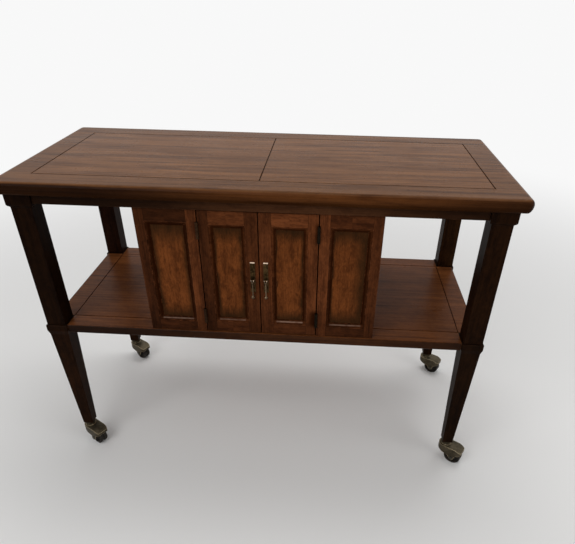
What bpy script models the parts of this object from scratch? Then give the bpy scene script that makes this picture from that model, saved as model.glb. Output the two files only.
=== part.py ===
"""Rolling bar cart with a small two-door cabinet between its top and its lower shelf.

Metres, +Z up. X runs along the cart, the doors face -Y, and the origin is on the floor under its centre.
"""
import math

import bmesh
import bpy

# Fits
FIT = 0.0003
OVERRUN = 0.004
MERGE = 0.00001

# Top
TOP_WIDTH = 1.220
TOP_DEPTH = 0.526
HEIGHT = 0.841
TOP_THICKNESS = 0.030
TOP_FACE_CORNER = 0.003
TOP_EDGE_RADIUS = 0.011
TOP_UNDERCUT = 0.006
TOP_UNDERCUT_HEIGHT = 0.016
END_OVERHANG = 0.030
FRONT_OVERHANG = 0.0175
BORDER_INSET = 0.072
LINE_WIDTH = 0.003
LINE_DEPTH = 0.0014

# Posts, aprons and legs
POST_WIDTH = 0.050
HEAD_PROUD = 0.006
HEAD_BELOW_APRON = 0.004
HEAD_CHAMFER = 0.005
APRON_HEIGHT = 0.0245
APRON_THICKNESS = 0.018
BLOCK_PROUD = 0.0035
BLOCK_HEIGHT = 0.0175
BLOCK_CHAMFER = 0.013
TENON_WIDTH = 0.024
TENON_LENGTH = 0.030
FOOT_WIDTH = 0.030
EDGE_EASE = 0.0015

# Lower shelf
SHELF_HEIGHT = 0.4465
SHELF_THICKNESS = 0.0235
SHELF_SETBACK = 0.002
SHELF_EASE = 0.003
DADO_DEPTH = 0.004

# Cabinet
CABINET_WIDTH = 0.586
CABINET_SETBACK = 0.0057
SIDE_THICKNESS = 0.018
BACK_THICKNESS = 0.012
FRONT_THICKNESS = 0.018
FIXED_WIDTH = 0.1482
DOOR_TOP_GAP = 0.0025
DOOR_BOTTOM_GAP = 0.003
MEETING_GAP = 0.0026
STILE = 0.0245
MEETING_STILE = 0.030
TOP_RAIL = 0.0335
BOTTOM_RAIL = 0.030
MOULDING_WIDTH = 0.010
MOULDING_DEPTH = 0.006
PANEL_RECESS = 0.0075
PANEL_THICKNESS = 0.0055
PANEL_GROOVE = 0.006
FRONT_EASE = 0.0008

# The moulding's steps from the frame's face inwards, as shares of its width and of its depth
MOULDING_SHARES = ((0.06, 0.22), (0.30, 0.10), (0.26, 0.28), (0.20, 0.28), (0.18, 0.12))

# The top's undercut from its nose down, as shares of its width and of its height
UNDERCUT_SHARES = ((0.15, 0.40), (0.35, 0.35), (0.50, 0.25))

# Hinges
LEAF_THICKNESS = 0.0008
LEAF_SPACE = 0.0006
HINGE_HEIGHT = 0.042
HINGE_END_DISTANCE = 0.0275
LEAF_DEPTH = 0.014
BARREL_RADIUS = 0.0038
PIN_RADIUS = 0.0016
KNUCKLES = 5

# Pulls
PLATE_WIDTH = 0.012
PLATE_HEIGHT = 0.083
PLATE_THICKNESS = 0.0022
PLATE_EASE = 0.0008
PLATE_BELOW_MIDDLE = 0.00075
PULL_AXIS_DROP = 0.0465
PULL_STANDOFF = 0.0068
BOSS_RADIUS = 0.0019
EYE_RADIUS = 0.0026
EYE_WIDTH = 0.004
PULL_PIN_RADIUS = 0.001
BELL_RADIUS = 0.005
BELL_ABOVE = 0.0034
BELL_BELOW = 0.0046
TAPER_LENGTH = 0.007
STEM_RADIUS = 0.0016
PENDANT_LENGTH = 0.052
BALL_RADIUS = 0.0047

# Catch
CATCH_WIDTH = 0.044
CATCH_DEPTH = 0.016
CATCH_REACH = 0.020
STRIKE_WIDTH = 0.014
STRIKE_HEIGHT = 0.012
STRIKE_THICKNESS = 0.0012
STRIKE_EDGE = 0.004

# Casters
CASTER_HEIGHT = 0.072
WHEEL_RADIUS = 0.025
WHEEL_WIDTH = 0.026
HUB_WIDTH = 0.035
HUB_RADIUS = 0.008
WEB_WIDTH = 0.013
RIM_WIDTH = 0.005
TREAD_CROWN = 0.0012
TREAD_EASE = 0.003
GROOVE_WIDTH = 0.005
GROOVE_DEPTH = 0.003
TRAIL = 0.029
AXLE_RADIUS = 0.003
AXLE_HEAD_RADIUS = 0.0055
AXLE_HEAD_HEIGHT = 0.0014
HOOD_WIDTH = 0.040
HOOD_REACH = 0.056
HOOD_TOP = 0.060
HOOD_WALL = 0.0018
ROOF_BREAK = 0.038
NOSE_START = 0.041
NOSE_TOP = 0.0525
NOSE_BOTTOM = 0.045
HEEL_BOTTOM = 0.044
CHEEK_BOTTOM = 0.030
LUG_RADIUS = 0.0075
LUG_START = math.radians(200)
LUG_END = math.radians(330)
NECK_RADIUS = 0.0145
NECK_TOP = 0.0615
NECK_BOTTOM = 0.053
COLLAR_RADIUS = 0.015
SLEEVE_RADIUS = 0.0068
SLEEVE_LENGTH = 0.036
CASTER_STEM_RADIUS = 0.005
CASTER_TURN = math.radians(-32)

# The hood's nose from above, from its straight sides to its front, as shares of its length and half its width
NOSE_SHARES = ((0, 1), (0.60, 0.94), (0.92, 0.78), (1, 0.56))

# The cheeks' lower edge before the axle, as shares of the trail and of the heel's rise
CHEEK_SHARES = ((0, 0.30), (0.60, 0))

# Facets round a turn
COARSE = 12
MEDIUM = 24
SQUARE = 4
NOSE_STEPS = 4
CORNER_STEPS = 3

# Places that follow from the sizes
TOP_UNDERSIDE = HEIGHT - TOP_THICKNESS
TOP_CORNER_RADIUS = TOP_EDGE_RADIUS + TOP_FACE_CORNER
POST_X = TOP_WIDTH / 2 - END_OVERHANG - POST_WIDTH / 2
POST_Y = TOP_DEPTH / 2 - FRONT_OVERHANG - POST_WIDTH / 2
POST_FACE_X = POST_X + POST_WIDTH / 2
POST_FACE_Y = POST_Y + POST_WIDTH / 2
HEAD_WIDTH = POST_WIDTH + 2 * HEAD_PROUD
BLOCK_WIDTH = POST_WIDTH + 2 * BLOCK_PROUD
APRON_BOTTOM = TOP_UNDERSIDE - APRON_HEIGHT
FRONT_Y = POST_FACE_Y - CABINET_SETBACK
FRONT_BACK_Y = FRONT_Y - FRONT_THICKNESS
HINGE_GAP = 2 * (FIT + LEAF_THICKNESS) + LEAF_SPACE
HINGE_X = CABINET_WIDTH / 2 - FIXED_WIDTH - HINGE_GAP / 2
HINGE_Y = FRONT_Y + BARREL_RADIUS + FIT
DOOR_OUTER_X = HINGE_X - HINGE_GAP / 2
DOOR_INNER_X = MEETING_GAP / 2
DOOR_BOTTOM = SHELF_HEIGHT + DOOR_BOTTOM_GAP
DOOR_TOP = APRON_BOTTOM - DOOR_TOP_GAP
PULL_X = DOOR_INNER_X + MEETING_STILE / 2
PLATE_TOP = (DOOR_BOTTOM + DOOR_TOP + PLATE_HEIGHT) / 2 - PLATE_BELOW_MIDDLE
PULL_AXIS_Z = PLATE_TOP - PULL_AXIS_DROP
PLATE_FRONT_Y = FRONT_Y + FIT + PLATE_THICKNESS
PULL_AXIS_Y = PLATE_FRONT_Y + PULL_STANDOFF

# Finishes: colour, roughness, metallic
WALNUT = ((0.085, 0.032, 0.014), 0.32, 0)
PANEL_WALNUT = ((0.150, 0.058, 0.022), 0.34, 0)
PLAIN_WOOD = ((0.170, 0.090, 0.045), 0.6, 0)
ANTIQUE_BRASS = ((0.330, 0.230, 0.110), 0.38, 1)
DARK_BRASS = ((0.080, 0.055, 0.030), 0.45, 1)
STEEL = ((0.420, 0.410, 0.390), 0.4, 1)
RUBBER = ((0.030, 0.029, 0.027), 0.7, 0)


def add_collection(name):
    collection = bpy.data.collections.new(name)
    bpy.context.scene.collection.children.link(collection)
    return collection


def add_object(name, mesh, location, finish):
    """A part of the cart, with a material of its own."""
    material = bpy.data.materials.new(name + "_finish")
    material.use_nodes = True
    shader = material.node_tree.nodes["Principled BSDF"]
    color, roughness, metallic = finish
    shader.inputs["Base Color"].default_value = (*color, 1)
    shader.inputs["Roughness"].default_value = roughness
    shader.inputs["Metallic"].default_value = metallic
    mesh.materials.append(material)
    thing = bpy.data.objects.new(name, mesh)
    thing.location = location
    bpy.data.collections["bar_cart_cabinet"].objects.link(thing)
    return thing


def add_cutter(name, mesh, location):
    """A tool for Boolean modifiers, which isn't a part of the cart."""
    thing = bpy.data.objects.new(name, mesh)
    thing.location = location
    thing.hide_render = True
    thing.display_type = "WIRE"
    bpy.data.collections["cutters"].objects.link(thing)
    return thing


def add_pivot(name, location, carrier=None, turn=0):
    """An empty on a joint's axis."""
    pivot = bpy.data.objects.new(name, None)
    pivot.location = location
    pivot.rotation_euler.z = turn
    pivot.parent = carrier
    bpy.data.collections["bar_cart_cabinet"].objects.link(pivot)
    return pivot


def hang(things, pivot):
    """Parents things that stand at world places to a pivot that isn't turned."""
    for thing in things:
        thing.parent = pivot
        thing.location -= pivot.location


def bevel(thing, width, segments):
    modifier = thing.modifiers.new("ease", "BEVEL")
    modifier.width = width
    modifier.segments = segments
    modifier.limit_method = "ANGLE"


def combine(thing, tool, operation):
    modifier = thing.modifiers.new(tool.name, "BOOLEAN")
    modifier.operation = operation
    modifier.solver = "EXACT"
    modifier.object = tool


def box_mesh(name, size):
    mesh = bpy.data.meshes.new(name)
    work = bmesh.new()
    bmesh.ops.create_cube(work, size=1)
    bmesh.ops.scale(work, vec=size, verts=work.verts)
    work.to_mesh(mesh)
    work.free()
    return mesh


def middle(low, high):
    return tuple((a + b) / 2 for a, b in zip(low, high))


def span(low, high):
    return tuple(b - a for a, b in zip(low, high))


def box(name, low, high, finish, ease=0, segments=2):
    thing = add_object(name, box_mesh(name, span(low, high)), middle(low, high), finish)
    if ease:
        bevel(thing, ease, segments)
    return thing


def cutter_box(name, low, high):
    return add_cutter(name, box_mesh(name, span(low, high)), middle(low, high))


def cylinder_mesh(name, radius, length, facets):
    mesh = bpy.data.meshes.new(name)
    work = bmesh.new()
    bmesh.ops.create_cone(work, cap_ends=True, segments=facets, radius1=radius, radius2=radius, depth=length)
    work.to_mesh(mesh)
    work.free()
    return mesh


def profile_mesh(name, profile, closed):
    """The edge chain that a Screw modifier turns. Its points are (radius, height)."""
    mesh = bpy.data.meshes.new(name)
    edges = [(i, i + 1) for i in range(len(profile) - 1)]
    if closed:
        edges.append((len(profile) - 1, 0))
    mesh.from_pydata([(radius, 0, height) for radius, height in profile], edges, [])
    return mesh


def screw(thing, steps, smooth):
    modifier = thing.modifiers.new("turn", "SCREW")
    modifier.steps = steps
    modifier.render_steps = steps
    modifier.use_merge_vertices = True
    modifier.merge_threshold = MERGE
    modifier.use_smooth_shade = smooth


def turned(name, profile, steps, location, finish, closed=False):
    """A round piece from its profile, which runs down its outer side."""
    thing = add_object(name, profile_mesh(name, profile, closed), location, finish)
    screw(thing, steps, True)
    return thing


def square_turning(name, profile, location, finish):
    """A square piece from its profile: points are (half width, height), top to bottom."""
    corners = [(half * math.sqrt(2), height) for half, height in profile]
    thing = add_object(name, profile_mesh(name, corners, False), location, finish)
    thing.rotation_euler.z = math.pi / SQUARE
    screw(thing, SQUARE, False)
    return thing


def arc(radius, start, end, count, center=(0, 0)):
    """Points on an arc, from the start angle to the end angle."""
    angles = [start + (end - start) * i / count for i in range(count + 1)]
    return [(center[0] + radius * math.cos(a), center[1] + radius * math.sin(a)) for a in angles]


def outline_mesh(name, points, thickness):
    """A flat outline in X and Y with a thickness along Z, as one closed mesh."""
    curve = bpy.data.curves.new(name, "CURVE")
    curve.dimensions = "2D"
    curve.fill_mode = "BOTH"
    curve.extrude = thickness / 2
    spline = curve.splines.new("POLY")
    spline.points.add(len(points) - 1)
    for point, (x, y) in zip(spline.points, points):
        point.co = (x, y, 0, 1)
    spline.use_cyclic_u = True
    holder = bpy.data.objects.new(name, curve)
    bpy.context.scene.collection.objects.link(holder)
    depsgraph = bpy.context.evaluated_depsgraph_get()
    mesh = bpy.data.meshes.new_from_object(holder.evaluated_get(depsgraph))
    bpy.data.objects.remove(holder)
    work = bmesh.new()
    work.from_mesh(mesh)
    bmesh.ops.remove_doubles(work, verts=work.verts, dist=MERGE)
    bmesh.ops.recalc_face_normals(work, faces=work.faces)
    work.to_mesh(mesh)
    work.free()
    return mesh


def ring_cutter(name, half_x, half_y, top):
    """A shallow rectangular ring that cuts a border line. Its outer sides are at half_x and half_y."""
    low_z = top - LINE_DEPTH
    high_z = top + OVERRUN
    inner_x = half_x - LINE_WIDTH
    inner_y = half_y - LINE_WIDTH
    low = (-inner_x, -inner_y, low_z - OVERRUN)
    inner = cutter_box(name + "_inner", low, (inner_x, inner_y, high_z + OVERRUN))
    ring = cutter_box(name, (-half_x, -half_y, low_z), (half_x, half_y, high_z))
    combine(ring, inner, "DIFFERENCE")
    return ring


def step_face(work, face, steps):
    """Insets a face again and again: each step is (how far in, how far out along its normal)."""
    for inward, outward in steps:
        bmesh.ops.inset_region(work, faces=[face], thickness=inward, depth=outward, use_even_offset=True)


def make_top():
    """The slab: a plate with rounded corners, rounded over above and undercut below."""
    band = TOP_THICKNESS - TOP_EDGE_RADIUS - TOP_UNDERCUT_HEIGHT
    mesh = bpy.data.meshes.new("top_slab")
    work = bmesh.new()
    bmesh.ops.create_cube(work, size=1)
    bmesh.ops.scale(work, vec=(TOP_WIDTH, TOP_DEPTH, band), verts=work.verts)
    uprights = [e for e in work.edges if abs(e.verts[0].co.z - e.verts[1].co.z) > MERGE]
    shape = {"segments": CORNER_STEPS, "profile": 0.5, "affect": "EDGES"}
    bmesh.ops.bevel(work, geom=uprights, offset=TOP_CORNER_RADIUS, **shape)
    upper = max(work.faces, key=lambda f: f.normal.z)
    lower = min(work.faces, key=lambda f: f.normal.z)
    rise = arc(TOP_EDGE_RADIUS, 0, math.pi / 2, NOSE_STEPS)
    step_face(work, upper, [(a[0] - b[0], b[1] - a[1]) for a, b in zip(rise, rise[1:])])
    step_face(work, lower, [(TOP_UNDERCUT * a, TOP_UNDERCUT_HEIGHT * b) for a, b in UNDERCUT_SHARES])
    work.to_mesh(mesh)
    work.free()
    top = add_object("top_slab", mesh, (0, 0, HEIGHT - TOP_EDGE_RADIUS - band / 2), WALNUT)
    half_x = TOP_WIDTH / 2 - BORDER_INSET + LINE_WIDTH / 2
    half_y = TOP_DEPTH / 2 - BORDER_INSET + LINE_WIDTH / 2
    combine(top, ring_cutter("top_border", half_x, half_y, HEIGHT), "DIFFERENCE")
    low = (-LINE_WIDTH / 2, LINE_WIDTH - half_y - FIT, HEIGHT - LINE_DEPTH)
    high = (LINE_WIDTH / 2, half_y - LINE_WIDTH + FIT, HEIGHT + OVERRUN)
    combine(top, cutter_box("top_cross_line", low, high), "DIFFERENCE")


def make_aprons():
    inner_x = POST_X - HEAD_WIDTH / 2 - FIT
    inner_y = POST_Y - HEAD_WIDTH / 2 - FIT
    high_z = TOP_UNDERSIDE - FIT
    for name, side in (("front", -1), ("back", 1)):
        faces = sorted((side * POST_FACE_Y, side * (POST_FACE_Y - APRON_THICKNESS)))
        low = (-inner_x, faces[0], APRON_BOTTOM)
        high = (inner_x, faces[1], high_z)
        box("apron_" + name, low, high, WALNUT, EDGE_EASE)
    for name, side in (("left", -1), ("right", 1)):
        faces = sorted((side * POST_FACE_X, side * (POST_FACE_X - APRON_THICKNESS)))
        low = (faces[0], -inner_y, APRON_BOTTOM)
        high = (faces[1], inner_y, high_z)
        box("apron_" + name, low, high, WALNUT, EDGE_EASE)


def make_post(corner, x, y):
    """The upper post. Its foot is mortised for the leg's tenon."""
    head_bottom = APRON_BOTTOM - HEAD_BELOW_APRON
    foot = SHELF_HEIGHT + FIT
    mortise = TENON_WIDTH / 2 + FIT
    mortise_top = SHELF_HEIGHT + TENON_LENGTH + FIT
    profile = (
        (0, TOP_UNDERSIDE - FIT),
        (HEAD_WIDTH / 2, TOP_UNDERSIDE - FIT),
        (HEAD_WIDTH / 2, head_bottom),
        (POST_WIDTH / 2, head_bottom - HEAD_CHAMFER),
        (POST_WIDTH / 2, foot),
        (mortise, foot),
        (mortise, mortise_top),
        (0, mortise_top),
    )
    post = square_turning("post_" + corner, profile, (x, y, 0), WALNUT)
    bevel(post, EDGE_EASE, 1)


def make_leg(corner, x, y):
    """The tapered leg with the block that carries the shelf's corner, its tenon and its caster bore."""
    block_bottom = SHELF_HEIGHT - BLOCK_HEIGHT
    profile = (
        (0, SHELF_HEIGHT + TENON_LENGTH),
        (TENON_WIDTH / 2, SHELF_HEIGHT + TENON_LENGTH),
        (TENON_WIDTH / 2, SHELF_HEIGHT),
        (BLOCK_WIDTH / 2, SHELF_HEIGHT),
        (BLOCK_WIDTH / 2, block_bottom),
        (POST_WIDTH / 2, block_bottom - BLOCK_CHAMFER),
        (FOOT_WIDTH / 2, CASTER_HEIGHT),
        (0, CASTER_HEIGHT),
    )
    leg = square_turning("leg_" + corner, profile, (x, y, 0), WALNUT)
    bevel(leg, EDGE_EASE, 1)
    depth = SLEEVE_LENGTH + FIT
    bore = cylinder_mesh("bore_" + corner, SLEEVE_RADIUS + FIT, depth + OVERRUN, MEDIUM)
    center_z = CASTER_HEIGHT + (depth - OVERRUN) / 2
    combine(leg, add_cutter("bore_" + corner, bore, (x, y, center_z)), "DIFFERENCE")


def side_places():
    """Each cabinet side's name and its low and high corners. Its foot stands in a groove across the shelf."""
    half = CABINET_WIDTH / 2
    rear = POST_FACE_Y - max(APRON_THICKNESS, CABINET_SETBACK + BACK_THICKNESS) - FIT
    places = []
    for side, sign in (("left", -1), ("right", 1)):
        xs = sorted((sign * half, sign * (half - SIDE_THICKNESS)))
        low = (xs[0], FIT - FRONT_BACK_Y, SHELF_HEIGHT - DADO_DEPTH + FIT)
        places.append((side, low, (xs[1], rear, TOP_UNDERSIDE - FIT)))
    return places


def make_shelf(corners):
    """The shelf between the legs' blocks, with border lines and grooves for the cabinet's sides."""
    half_x = POST_FACE_X - SHELF_SETBACK
    half_y = POST_FACE_Y - SHELF_SETBACK
    low = (-half_x, -half_y, SHELF_HEIGHT - SHELF_THICKNESS)
    shelf = box("lower_shelf", low, (half_x, half_y, SHELF_HEIGHT), WALNUT, SHELF_EASE, 3)
    reach = BLOCK_WIDTH / 2 + FIT
    for corner, x, y in corners:
        low = (x - reach, y - reach, SHELF_HEIGHT - SHELF_THICKNESS - OVERRUN)
        high = (x + reach, y + reach, SHELF_HEIGHT + OVERRUN)
        combine(shelf, cutter_box("notch_" + corner, low, high), "DIFFERENCE")
    line_x = POST_X - reach + LINE_WIDTH / 2
    line_y = POST_Y - reach + LINE_WIDTH / 2
    combine(shelf, ring_cutter("shelf_border", line_x, line_y, SHELF_HEIGHT), "DIFFERENCE")
    for side, low, high in side_places():
        low = (low[0] - FIT, low[1] - FIT, low[2] - FIT)
        high = (high[0] + FIT, high[1] + FIT, SHELF_HEIGHT + OVERRUN)
        combine(shelf, cutter_box("dado_" + side, low, high), "DIFFERENCE")


def moulding_cutter(name, low, high, face_y):
    """A plug that cuts a frame's opening, with the moulding's steps round it. Its wide end is in front."""
    mesh = bpy.data.meshes.new(name)
    work = bmesh.new()
    bmesh.ops.create_cube(work, size=1)
    bmesh.ops.scale(work, vec=(high[0] - low[0], OVERRUN, high[1] - low[1]), verts=work.verts)
    face = max(work.faces, key=lambda f: f.normal.y)
    step_face(work, face, [(MOULDING_WIDTH * a, MOULDING_DEPTH * b) for a, b in MOULDING_SHARES])
    through = FRONT_THICKNESS - MOULDING_DEPTH + OVERRUN
    made = bmesh.ops.extrude_discrete_faces(work, faces=[face])
    bmesh.ops.translate(work, vec=(0, through, 0), verts=made["faces"][0].verts)
    bmesh.ops.recalc_face_normals(work, faces=work.faces)
    work.to_mesh(mesh)
    work.free()
    center = ((low[0] + high[0]) / 2, face_y - OVERRUN / 2, (low[1] + high[1]) / 2)
    return add_cutter(name, mesh, center)


def make_framed_panel(kind, side, xs, zs, stiles):
    """A moulded frame with a panel held in its groove. Its front is the cabinet's front."""
    frame_name = f"{kind}_frame_{side}"
    low = (xs[0], -FRONT_Y, zs[0])
    high = (xs[1], -FRONT_BACK_Y, zs[1])
    frame = box(frame_name, low, high, WALNUT, FRONT_EASE)
    opening_low = (xs[0] + stiles[0], zs[0] + BOTTOM_RAIL)
    opening_high = (xs[1] - stiles[1], zs[1] - TOP_RAIL)
    plug = moulding_cutter(frame_name + "_opening", opening_low, opening_high, -FRONT_Y)
    combine(frame, plug, "DIFFERENCE")
    reach = PANEL_GROOVE - MOULDING_WIDTH
    front = PANEL_RECESS - FRONT_Y
    low = (opening_low[0] - reach, front - FIT, opening_low[1] - reach)
    high = (opening_high[0] + reach, front + PANEL_THICKNESS + FIT, opening_high[1] + reach)
    combine(frame, cutter_box(frame_name + "_groove", low, high), "DIFFERENCE")
    low = tuple(v + FIT for v in low)
    high = tuple(v - FIT for v in high)
    panel = box(f"{kind}_panel_{side}", low, high, PANEL_WALNUT)
    return frame, panel


def make_cabinet_shell():
    half = CABINET_WIDTH / 2
    for side, low, high in side_places():
        box("cabinet_side_" + side, low, high, WALNUT, FRONT_EASE, 1)
    low = (-half, FRONT_Y - BACK_THICKNESS, SHELF_HEIGHT + FIT)
    box("cabinet_back", low, (half, FRONT_Y, APRON_BOTTOM - FIT), WALNUT, FRONT_EASE, 1)


def make_fixed_units():
    half = CABINET_WIDTH / 2
    zs = (SHELF_HEIGHT + FIT, APRON_BOTTOM - FIT)
    stiles = (STILE, STILE)
    make_framed_panel("fixed", "left", (-half, FIXED_WIDTH - half), zs, stiles)
    make_framed_panel("fixed", "right", (half - FIXED_WIDTH, half), zs, stiles)


def leaf_outline(side):
    """A hinge leaf in plan: the barrel's circle and the leaf behind it. side is -1 for a leaf at -X."""
    near = LEAF_SPACE / 2
    far = near + LEAF_THICKNESS
    start = math.asin(far / BARREL_RADIUS)
    end = math.asin(near / BARREL_RADIUS)
    barrel = arc(BARREL_RADIUS, math.pi / 2 - start, -end - math.pi * 3 / 2, COARSE)
    leaf_back = HINGE_Y - FRONT_Y + LEAF_DEPTH
    outline = barrel + [(near, leaf_back), (far, leaf_back)]
    return [(side * x, y) for x, y in outline]


def make_leaf(name, x, level, side, own):
    """One leaf of a hinge. own is 0 for the leaf with the end knuckles and the pin, 1 for the other."""
    mesh = outline_mesh(name, leaf_outline(side), HINGE_HEIGHT)
    leaf = add_object(name, mesh, (x, -HINGE_Y, level), DARK_BRASS)
    pitch = HINGE_HEIGHT / KNUCKLES
    reach = BARREL_RADIUS + FIT
    leaf_front = -FRONT_Y + FIT
    for i in range(1 - own, KNUCKLES, 2):
        low_z = level - HINGE_HEIGHT / 2 + i * pitch - FIT / 2
        high_z = low_z + pitch + FIT
        low_z -= OVERRUN if i == 0 else 0
        high_z += OVERRUN if i == KNUCKLES - 1 else 0
        low = (x - reach, -HINGE_Y - reach, low_z)
        gap = cutter_box(f"{name}_gap_{i}", low, (x + reach, leaf_front, high_z))
        combine(leaf, gap, "DIFFERENCE")
    if own:
        bore = cylinder_mesh(name + "_bore", PIN_RADIUS + FIT, HINGE_HEIGHT + OVERRUN, COARSE)
        combine(leaf, add_cutter(name + "_bore", bore, leaf.location), "DIFFERENCE")
    else:
        pin = cylinder_mesh(name + "_pin", PIN_RADIUS, HINGE_HEIGHT - BARREL_RADIUS, COARSE)
        combine(leaf, add_cutter(name + "_pin", pin, leaf.location), "UNION")
    return leaf


def make_hinges(side, sign):
    """The two hinges of a door. Returns the leaves that move with it."""
    moving = []
    low = DOOR_BOTTOM + HINGE_END_DISTANCE + HINGE_HEIGHT / 2
    high = DOOR_TOP - HINGE_END_DISTANCE - HINGE_HEIGHT / 2
    for place, level in (("lower", low), ("upper", high)):
        make_leaf(f"hinge_jamb_leaf_{place}_{side}", sign * HINGE_X, level, sign, 0)
        moving.append(make_leaf(f"hinge_door_leaf_{place}_{side}", sign * HINGE_X, level, -sign, 1))
    return moving


def make_pull_plate(side, x):
    """The backplate with the boss, eye and pin that carry the pendant."""
    low = (x - PLATE_WIDTH / 2, -PLATE_FRONT_Y, PLATE_TOP - PLATE_HEIGHT)
    high = (x + PLATE_WIDTH / 2, -FRONT_Y - FIT, PLATE_TOP)
    plate = box("pull_plate_" + side, low, high, ANTIQUE_BRASS, PLATE_EASE, 2)
    bury = PLATE_THICKNESS / 2
    boss = cylinder_mesh("boss_" + side, BOSS_RADIUS, PULL_STANDOFF + bury, COARSE)
    boss = add_cutter("boss_" + side, boss, (x, (bury - PLATE_FRONT_Y - PULL_AXIS_Y) / 2, PULL_AXIS_Z))
    boss.rotation_euler.x = math.pi / 2
    combine(plate, boss, "UNION")
    pin_length = 2 * (BELL_RADIUS - PULL_PIN_RADIUS)
    for name, radius, length in (("eye", EYE_RADIUS, EYE_WIDTH), ("pull_pin", PULL_PIN_RADIUS, pin_length)):
        tool = cylinder_mesh(f"{name}_{side}", radius, length, COARSE)
        tool = add_cutter(f"{name}_{side}", tool, (x, -PULL_AXIS_Y, PULL_AXIS_Z))
        tool.rotation_euler.y = math.pi / 2
        combine(plate, tool, "UNION")
    return plate


def make_pendant(side, pivot):
    """The hanging part of a pull, from its forked top down to its ball. Its origin is on its pin."""
    ball_z = BALL_RADIUS - PENDANT_LENGTH
    neck_angle = math.acos(STEM_RADIUS / BALL_RADIUS)
    profile = [
        (0, BELL_ABOVE),
        (BELL_RADIUS - PLATE_EASE, BELL_ABOVE),
        (BELL_RADIUS, BELL_ABOVE - PLATE_EASE),
        (BELL_RADIUS, -BELL_BELOW),
        (STEM_RADIUS, -BELL_BELOW - TAPER_LENGTH),
    ]
    ball = arc(BALL_RADIUS, neck_angle, -math.pi / 2, COARSE // 2, (0, ball_z))
    profile += ball[:-1] + [(0, -PENDANT_LENGTH)]
    pendant = turned("pull_pendant_" + side, profile, COARSE, (0, 0, 0), ANTIQUE_BRASS)
    slot_half = EYE_WIDTH / 2 + FIT
    slot_bottom = EYE_RADIUS + FIT
    low = (-slot_half, -BELL_RADIUS - OVERRUN, -slot_bottom)
    slot = cutter_box("pendant_slot_" + side, low, (slot_half, BELL_RADIUS + OVERRUN, BELL_ABOVE + OVERRUN))
    bore = cylinder_mesh("pendant_bore_" + side, PULL_PIN_RADIUS + FIT, 2 * BELL_RADIUS + OVERRUN, COARSE)
    bore = add_cutter("pendant_bore_" + side, bore, (0, 0, 0))
    bore.rotation_euler.y = math.pi / 2
    for tool in (slot, bore):
        tool.parent = pivot
        combine(pendant, tool, "DIFFERENCE")
    pendant.parent = pivot


def make_strike(side, sign):
    xs = sorted((sign * (DOOR_INNER_X + STRIKE_EDGE), sign * (DOOR_INNER_X + STRIKE_EDGE + STRIKE_WIDTH)))
    low = (xs[0], FIT - FRONT_BACK_Y, DOOR_TOP - STRIKE_EDGE - STRIKE_HEIGHT)
    high = (xs[1], FIT - FRONT_BACK_Y + STRIKE_THICKNESS, DOOR_TOP - STRIKE_EDGE)
    return box("catch_strike_" + side, low, high, STEEL)


def make_catch():
    """The stop behind both doors, hung from the top's underside."""
    front = STRIKE_THICKNESS + 2 * FIT - FRONT_BACK_Y
    low = (-CATCH_WIDTH / 2, front, DOOR_TOP - CATCH_REACH)
    high = (CATCH_WIDTH / 2, front + CATCH_DEPTH, TOP_UNDERSIDE - FIT)
    box("door_catch", low, high, PLAIN_WOOD, FRONT_EASE, 1)


def make_door(side, sign):
    xs = sorted((sign * DOOR_INNER_X, sign * DOOR_OUTER_X))
    stiles = (STILE, MEETING_STILE) if sign < 0 else (MEETING_STILE, STILE)
    frame, panel = make_framed_panel("door", side, xs, (DOOR_BOTTOM, DOOR_TOP), stiles)
    cutters = [m.object for m in frame.modifiers if m.type == "BOOLEAN"]
    leaves = make_hinges(side, sign)
    plate = make_pull_plate(side, sign * PULL_X)
    for leaf in leaves:
        cutters += [m.object for m in leaf.modifiers]
    cutters += [m.object for m in plate.modifiers if m.type == "BOOLEAN"]
    door_pivot = add_pivot("door_axis_" + side, (sign * HINGE_X, -HINGE_Y, SHELF_HEIGHT))
    hang([frame, panel, plate, make_strike(side, sign)] + leaves + cutters, door_pivot)
    pull_pivot = add_pivot("pull_axis_" + side, (sign * PULL_X, -PULL_AXIS_Y, PULL_AXIS_Z))
    hang([pull_pivot], door_pivot)
    make_pendant(side, pull_pivot)


def make_collar(corner, x, y):
    """The sleeve and collar that are driven into the leg."""
    bore = CASTER_STEM_RADIUS + FIT
    top = CASTER_HEIGHT + SLEEVE_LENGTH
    shoulder = CASTER_HEIGHT - FIT
    profile = (
        (bore, top),
        (SLEEVE_RADIUS, top),
        (SLEEVE_RADIUS, shoulder),
        (COLLAR_RADIUS, shoulder),
        (COLLAR_RADIUS, NECK_TOP + FIT),
        (bore, NECK_TOP + FIT),
    )
    turned("caster_collar_" + corner, profile, MEDIUM, (x, y, 0), ANTIQUE_BRASS, True)


def hood_plan(half, reach):
    """The hood from above: a round heel under the leg, straight sides and a blunt nose."""
    heel = arc(half, math.pi / 2, math.pi * 3 / 2, COARSE)
    nose = [(NOSE_START + a * (reach - NOSE_START), half * b) for a, b in NOSE_SHARES]
    return heel + [(x, -y) for x, y in nose] + nose[::-1]


def roof_line(drop):
    """The roof from the side, from past the nose to past the heel. It is level and then falls to the nose."""
    fall = (HOOD_TOP - NOSE_TOP) / (HOOD_REACH - ROOF_BREAK)
    end = HOOD_REACH + OVERRUN
    end_height = HOOD_TOP - fall * (end - ROOF_BREAK)
    return [(end, end_height - drop), (ROOF_BREAK, HOOD_TOP - drop), (-HOOD_WIDTH, HOOD_TOP - drop)]


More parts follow.
